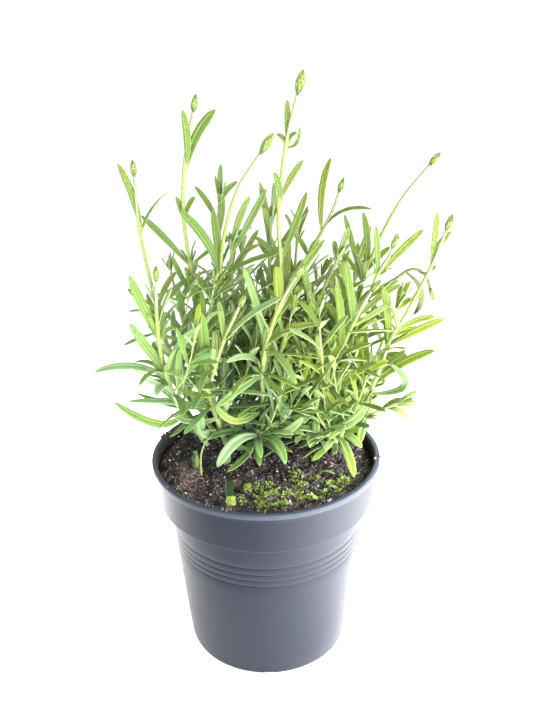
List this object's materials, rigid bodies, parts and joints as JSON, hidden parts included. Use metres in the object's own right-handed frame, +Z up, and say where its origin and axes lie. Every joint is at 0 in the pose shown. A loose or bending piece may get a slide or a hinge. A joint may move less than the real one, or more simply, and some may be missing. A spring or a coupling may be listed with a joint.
{
  "type": "potted lavender",
  "caption": "Young lavender plant with narrow leaves in opposite pairs and small green flower buds, growing in soil in a round tapered nursery pot with a rolled rim.",
  "frame": {"origin": "centre of the pot's foot, on the plane that it stands on", "axes": "+Z up; -Y is the side seen in the usual view; +X to its right"},
  "size_m": [0.1909, 0.1573, 0.3267],
  "materials": {
    "pot": "satin slate-grey moulded polypropylene, lightly scuffed at the rim",
    "soil": "rough damp potting compost with fibres and grit",
    "foliage": "fresh green leaves with fine down, paler underneath",
    "bud": "yellow-green bud scales with fine down",
    "withered": "dry brown stem and leaves"
  },
  "bodies": {
    "root": {"pot": "pot", "soil": "soil", "dry_twig": "withered", "leafy_stem_01": "foliage", "flower_head_01": "bud", "leafy_stem_02": "foliage", "flower_head_02": "bud", "leafy_stem_03": "foliage", "flower_head_03": "bud", "leafy_stem_04": "foliage", "flower_head_04": "bud", "leafy_stem_05": "foliage", "flower_head_05": "bud", "leafy_stem_06": "foliage", "flower_head_06": "bud", "leafy_stem_07": "foliage", "flower_head_07": "bud", "leafy_stem_08": "foliage", "leafy_stem_09": "foliage", "flower_head_08": "bud", "leafy_stem_10": "foliage", "flower_head_09": "bud", "leafy_stem_11": "foliage", "flower_head_10": "bud", "leafy_stem_12": "foliage", "flower_head_11": "bud", "leafy_stem_13": "foliage", "flower_head_12": "bud", "withered_stem": "withered", "withered_head": "withered", "leafy_stem_15": "foliage", "leafy_stem_16": "foliage", "leafy_stem_17": "foliage", "leafy_stem_18": "foliage", "leafy_stem_19": "foliage", "leafy_stem_20": "foliage", "leafy_stem_21": "foliage", "leafy_stem_22": "foliage", "leafy_stem_23": "foliage", "leafy_stem_24": "foliage", "leafy_stem_25": "foliage", "leafy_stem_26": "foliage", "leafy_stem_27": "foliage"}
  },
  "joints": []
}
